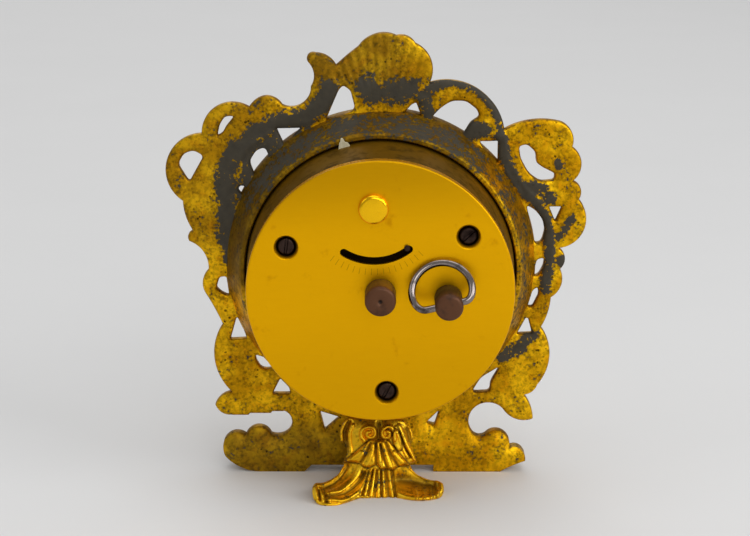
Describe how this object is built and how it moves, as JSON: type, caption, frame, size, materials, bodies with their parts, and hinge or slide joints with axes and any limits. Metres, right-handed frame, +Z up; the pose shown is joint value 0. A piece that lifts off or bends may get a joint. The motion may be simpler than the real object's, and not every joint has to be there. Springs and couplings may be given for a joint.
{
  "type": "boudoir clock",
  "caption": "Small wind-up clock: a round brass drum movement in a cast gilt openwork frame on a shaped base, with a rear strut foot, folding-ring key and hand-setting knob.",
  "frame": {"origin": "on the floor under the middle of the clock's box", "axes": "+Z up, the dial faces -Y, the winding key is at +Y"},
  "size_m": [0.1036, 0.0468, 0.1117],
  "materials": {
    "gilt": "worn gilding over a dark casting, pitted",
    "yellow_brass": "satin, lacquered",
    "movement_brass": "brushed",
    "dark_steel": "dark, browned",
    "brown_brass": "brown patina, semi gloss",
    "nickel_wire": "dull polish",
    "bright_steel": "bright",
    "spring_steel": "tempered",
    "hand_steel": "dark enamel",
    "dial_enamel": "cream enamel, gloss",
    "dial_glass": "clear",
    "packing": "pale, rough"
  },
  "bodies": {
    "case": {"frame_casting": "gilt", "rear_foot": "gilt", "foot_screws": "dark_steel", "drum_case": "yellow_brass", "packing_wedge": "packing", "bezel": "gilt", "crystal": "dial_glass", "crystal_ring": "movement_brass", "back_cover": "yellow_brass", "cover_screws": "dark_steel", "balance_cap": "yellow_brass", "dial": "dial_enamel", "front_plate": "movement_brass", "rear_plate": "movement_brass", "pillars": "movement_brass", "pillar_nuts": "dark_steel", "cover_posts": "movement_brass", "minute_stud": "bright_steel", "click_screw": "dark_steel", "click_spring": "spring_steel", "hairspring": "spring_steel", "hairspring_stud": "movement_brass"},
    "hand_arbor": {"centre_arbor": "bright_steel", "setting_knob": "brown_brass", "friction_washer": "movement_brass", "cannon_pinion": "bright_steel", "minute_hand": "hand_steel"},
    "minute_work": {"minute_wheel": "movement_brass", "minute_pinion": "bright_steel"},
    "hour_work": {"hour_wheel": "movement_brass", "hour_hand": "hand_steel"},
    "third_train": {"third_wheel": "movement_brass", "third_arbor": "bright_steel"},
    "centre_train": {"centre_wheel": "movement_brass", "centre_pinion": "bright_steel"},
    "barrel_drum": {"barrel": "movement_brass", "barrel_cover": "movement_brass", "mainspring": "spring_steel"},
    "fourth_train": {"fourth_wheel": "movement_brass", "fourth_arbor": "bright_steel"},
    "escape_train": {"escape_wheel": "movement_brass", "escape_arbor": "bright_steel"},
    "winding_arbor": {"barrel_arbor": "bright_steel", "ratchet_wheel": "movement_brass", "winding_key": "brown_brass"},
    "key_ring_wire": {"key_ring": "nickel_wire"},
    "pallets": {"pallet_lever": "movement_brass", "pallet_pins": "bright_steel", "pallet_arbor": "bright_steel"},
    "balance": {"balance_wheel": "movement_brass", "balance_staff": "bright_steel", "impulse_roller": "movement_brass"},
    "regulator": {"regulator_index": "bright_steel"},
    "click_pawl": {"click": "bright_steel"}
  },
  "joints": [
    {"name": "hand_setting", "type": "hinge", "parent": "case", "child": "hand_arbor", "pos_m": [-0.00097, -0.0028, 0.0545], "axis": [0, 1, 0], "continuous": true},
    {"name": "minute_wheel_turn", "type": "hinge", "parent": "case", "child": "minute_work", "pos_m": [0.00373, -0.0028, 0.05076], "axis": [0, 1, 0], "continuous": true},
    {"name": "hour_wheel_turn", "type": "hinge", "parent": "case", "child": "hour_work", "pos_m": [-0.00097, -0.0028, 0.0545], "axis": [0, 1, 0], "continuous": true},
    {"name": "third_wheel_turn", "type": "hinge", "parent": "case", "child": "third_train", "pos_m": [0.00949, -0.0028, 0.05185], "axis": [0, 1, 0], "continuous": true},
    {"name": "centre_wheel_turn", "type": "hinge", "parent": "case", "child": "centre_train", "pos_m": [-0.00097, -0.0028, 0.0545], "axis": [0, 1, 0], "continuous": true},
    {"name": "barrel_turn", "type": "hinge", "parent": "case", "child": "barrel_drum", "pos_m": [-0.01694, -0.0028, 0.05344], "axis": [0, 1, 0], "continuous": true},
    {"name": "fourth_wheel_turn", "type": "hinge", "parent": "case", "child": "fourth_train", "pos_m": [0.0131, -0.0028, 0.05956], "axis": [0, 1, 0], "continuous": true},
    {"name": "escape_wheel_turn", "type": "hinge", "parent": "case", "child": "escape_train", "pos_m": [0.01134, -0.0028, 0.06727], "axis": [0, 1, 0], "continuous": true},
    {"name": "winding", "type": "hinge", "parent": "case", "child": "winding_arbor", "pos_m": [-0.01694, -0.0028, 0.05344], "axis": [0, 1, 0], "range_deg": [0, 1800]},
    {"name": "key_ring_fold", "type": "hinge", "parent": "winding_arbor", "child": "key_ring_wire", "pos_m": [-0.01694, 0.0205, 0.05344], "axis": [-0.9724, 0, 0.2334], "range_deg": [0, 238]},
    {"name": "pallet_rock", "type": "hinge", "parent": "case", "child": "pallets", "pos_m": [0.00679, -0.0028, 0.07087], "axis": [0, 1, 0], "range_deg": [-5, 5]},
    {"name": "balance_swing", "type": "hinge", "parent": "case", "child": "balance", "pos_m": [0.00068, -0.0028, 0.07543], "axis": [0, 1, 0], "range_deg": [-200, 200], "stiffness_Nm_per_rad": 0.000009},
    {"name": "regulator_turn", "type": "hinge", "parent": "case", "child": "regulator", "pos_m": [0.00068, -0.0028, 0.07543], "axis": [0, 1, 0], "range_deg": [-71, 1]},
    {"name": "click_lift", "type": "hinge", "parent": "case", "child": "click_pawl", "pos_m": [-0.01466, -0.0028, 0.04577], "axis": [0, 1, 0], "range_deg": [0, 12], "stiffness_Nm_per_rad": 0.00002}
  ],
  "couplings": [
    {"joint": "minute_wheel_turn", "follows": "hand_setting", "ratio": -0.33333},
    {"joint": "hour_wheel_turn", "follows": "hand_setting", "ratio": 0.083333},
    {"joint": "third_wheel_turn", "follows": "fourth_wheel_turn", "ratio": -0.13333},
    {"joint": "centre_wheel_turn", "follows": "fourth_wheel_turn", "ratio": 0.016667},
    {"joint": "barrel_turn", "follows": "fourth_wheel_turn", "ratio": -0.003125},
    {"joint": "escape_wheel_turn", "follows": "fourth_wheel_turn", "ratio": -8}
  ]
}
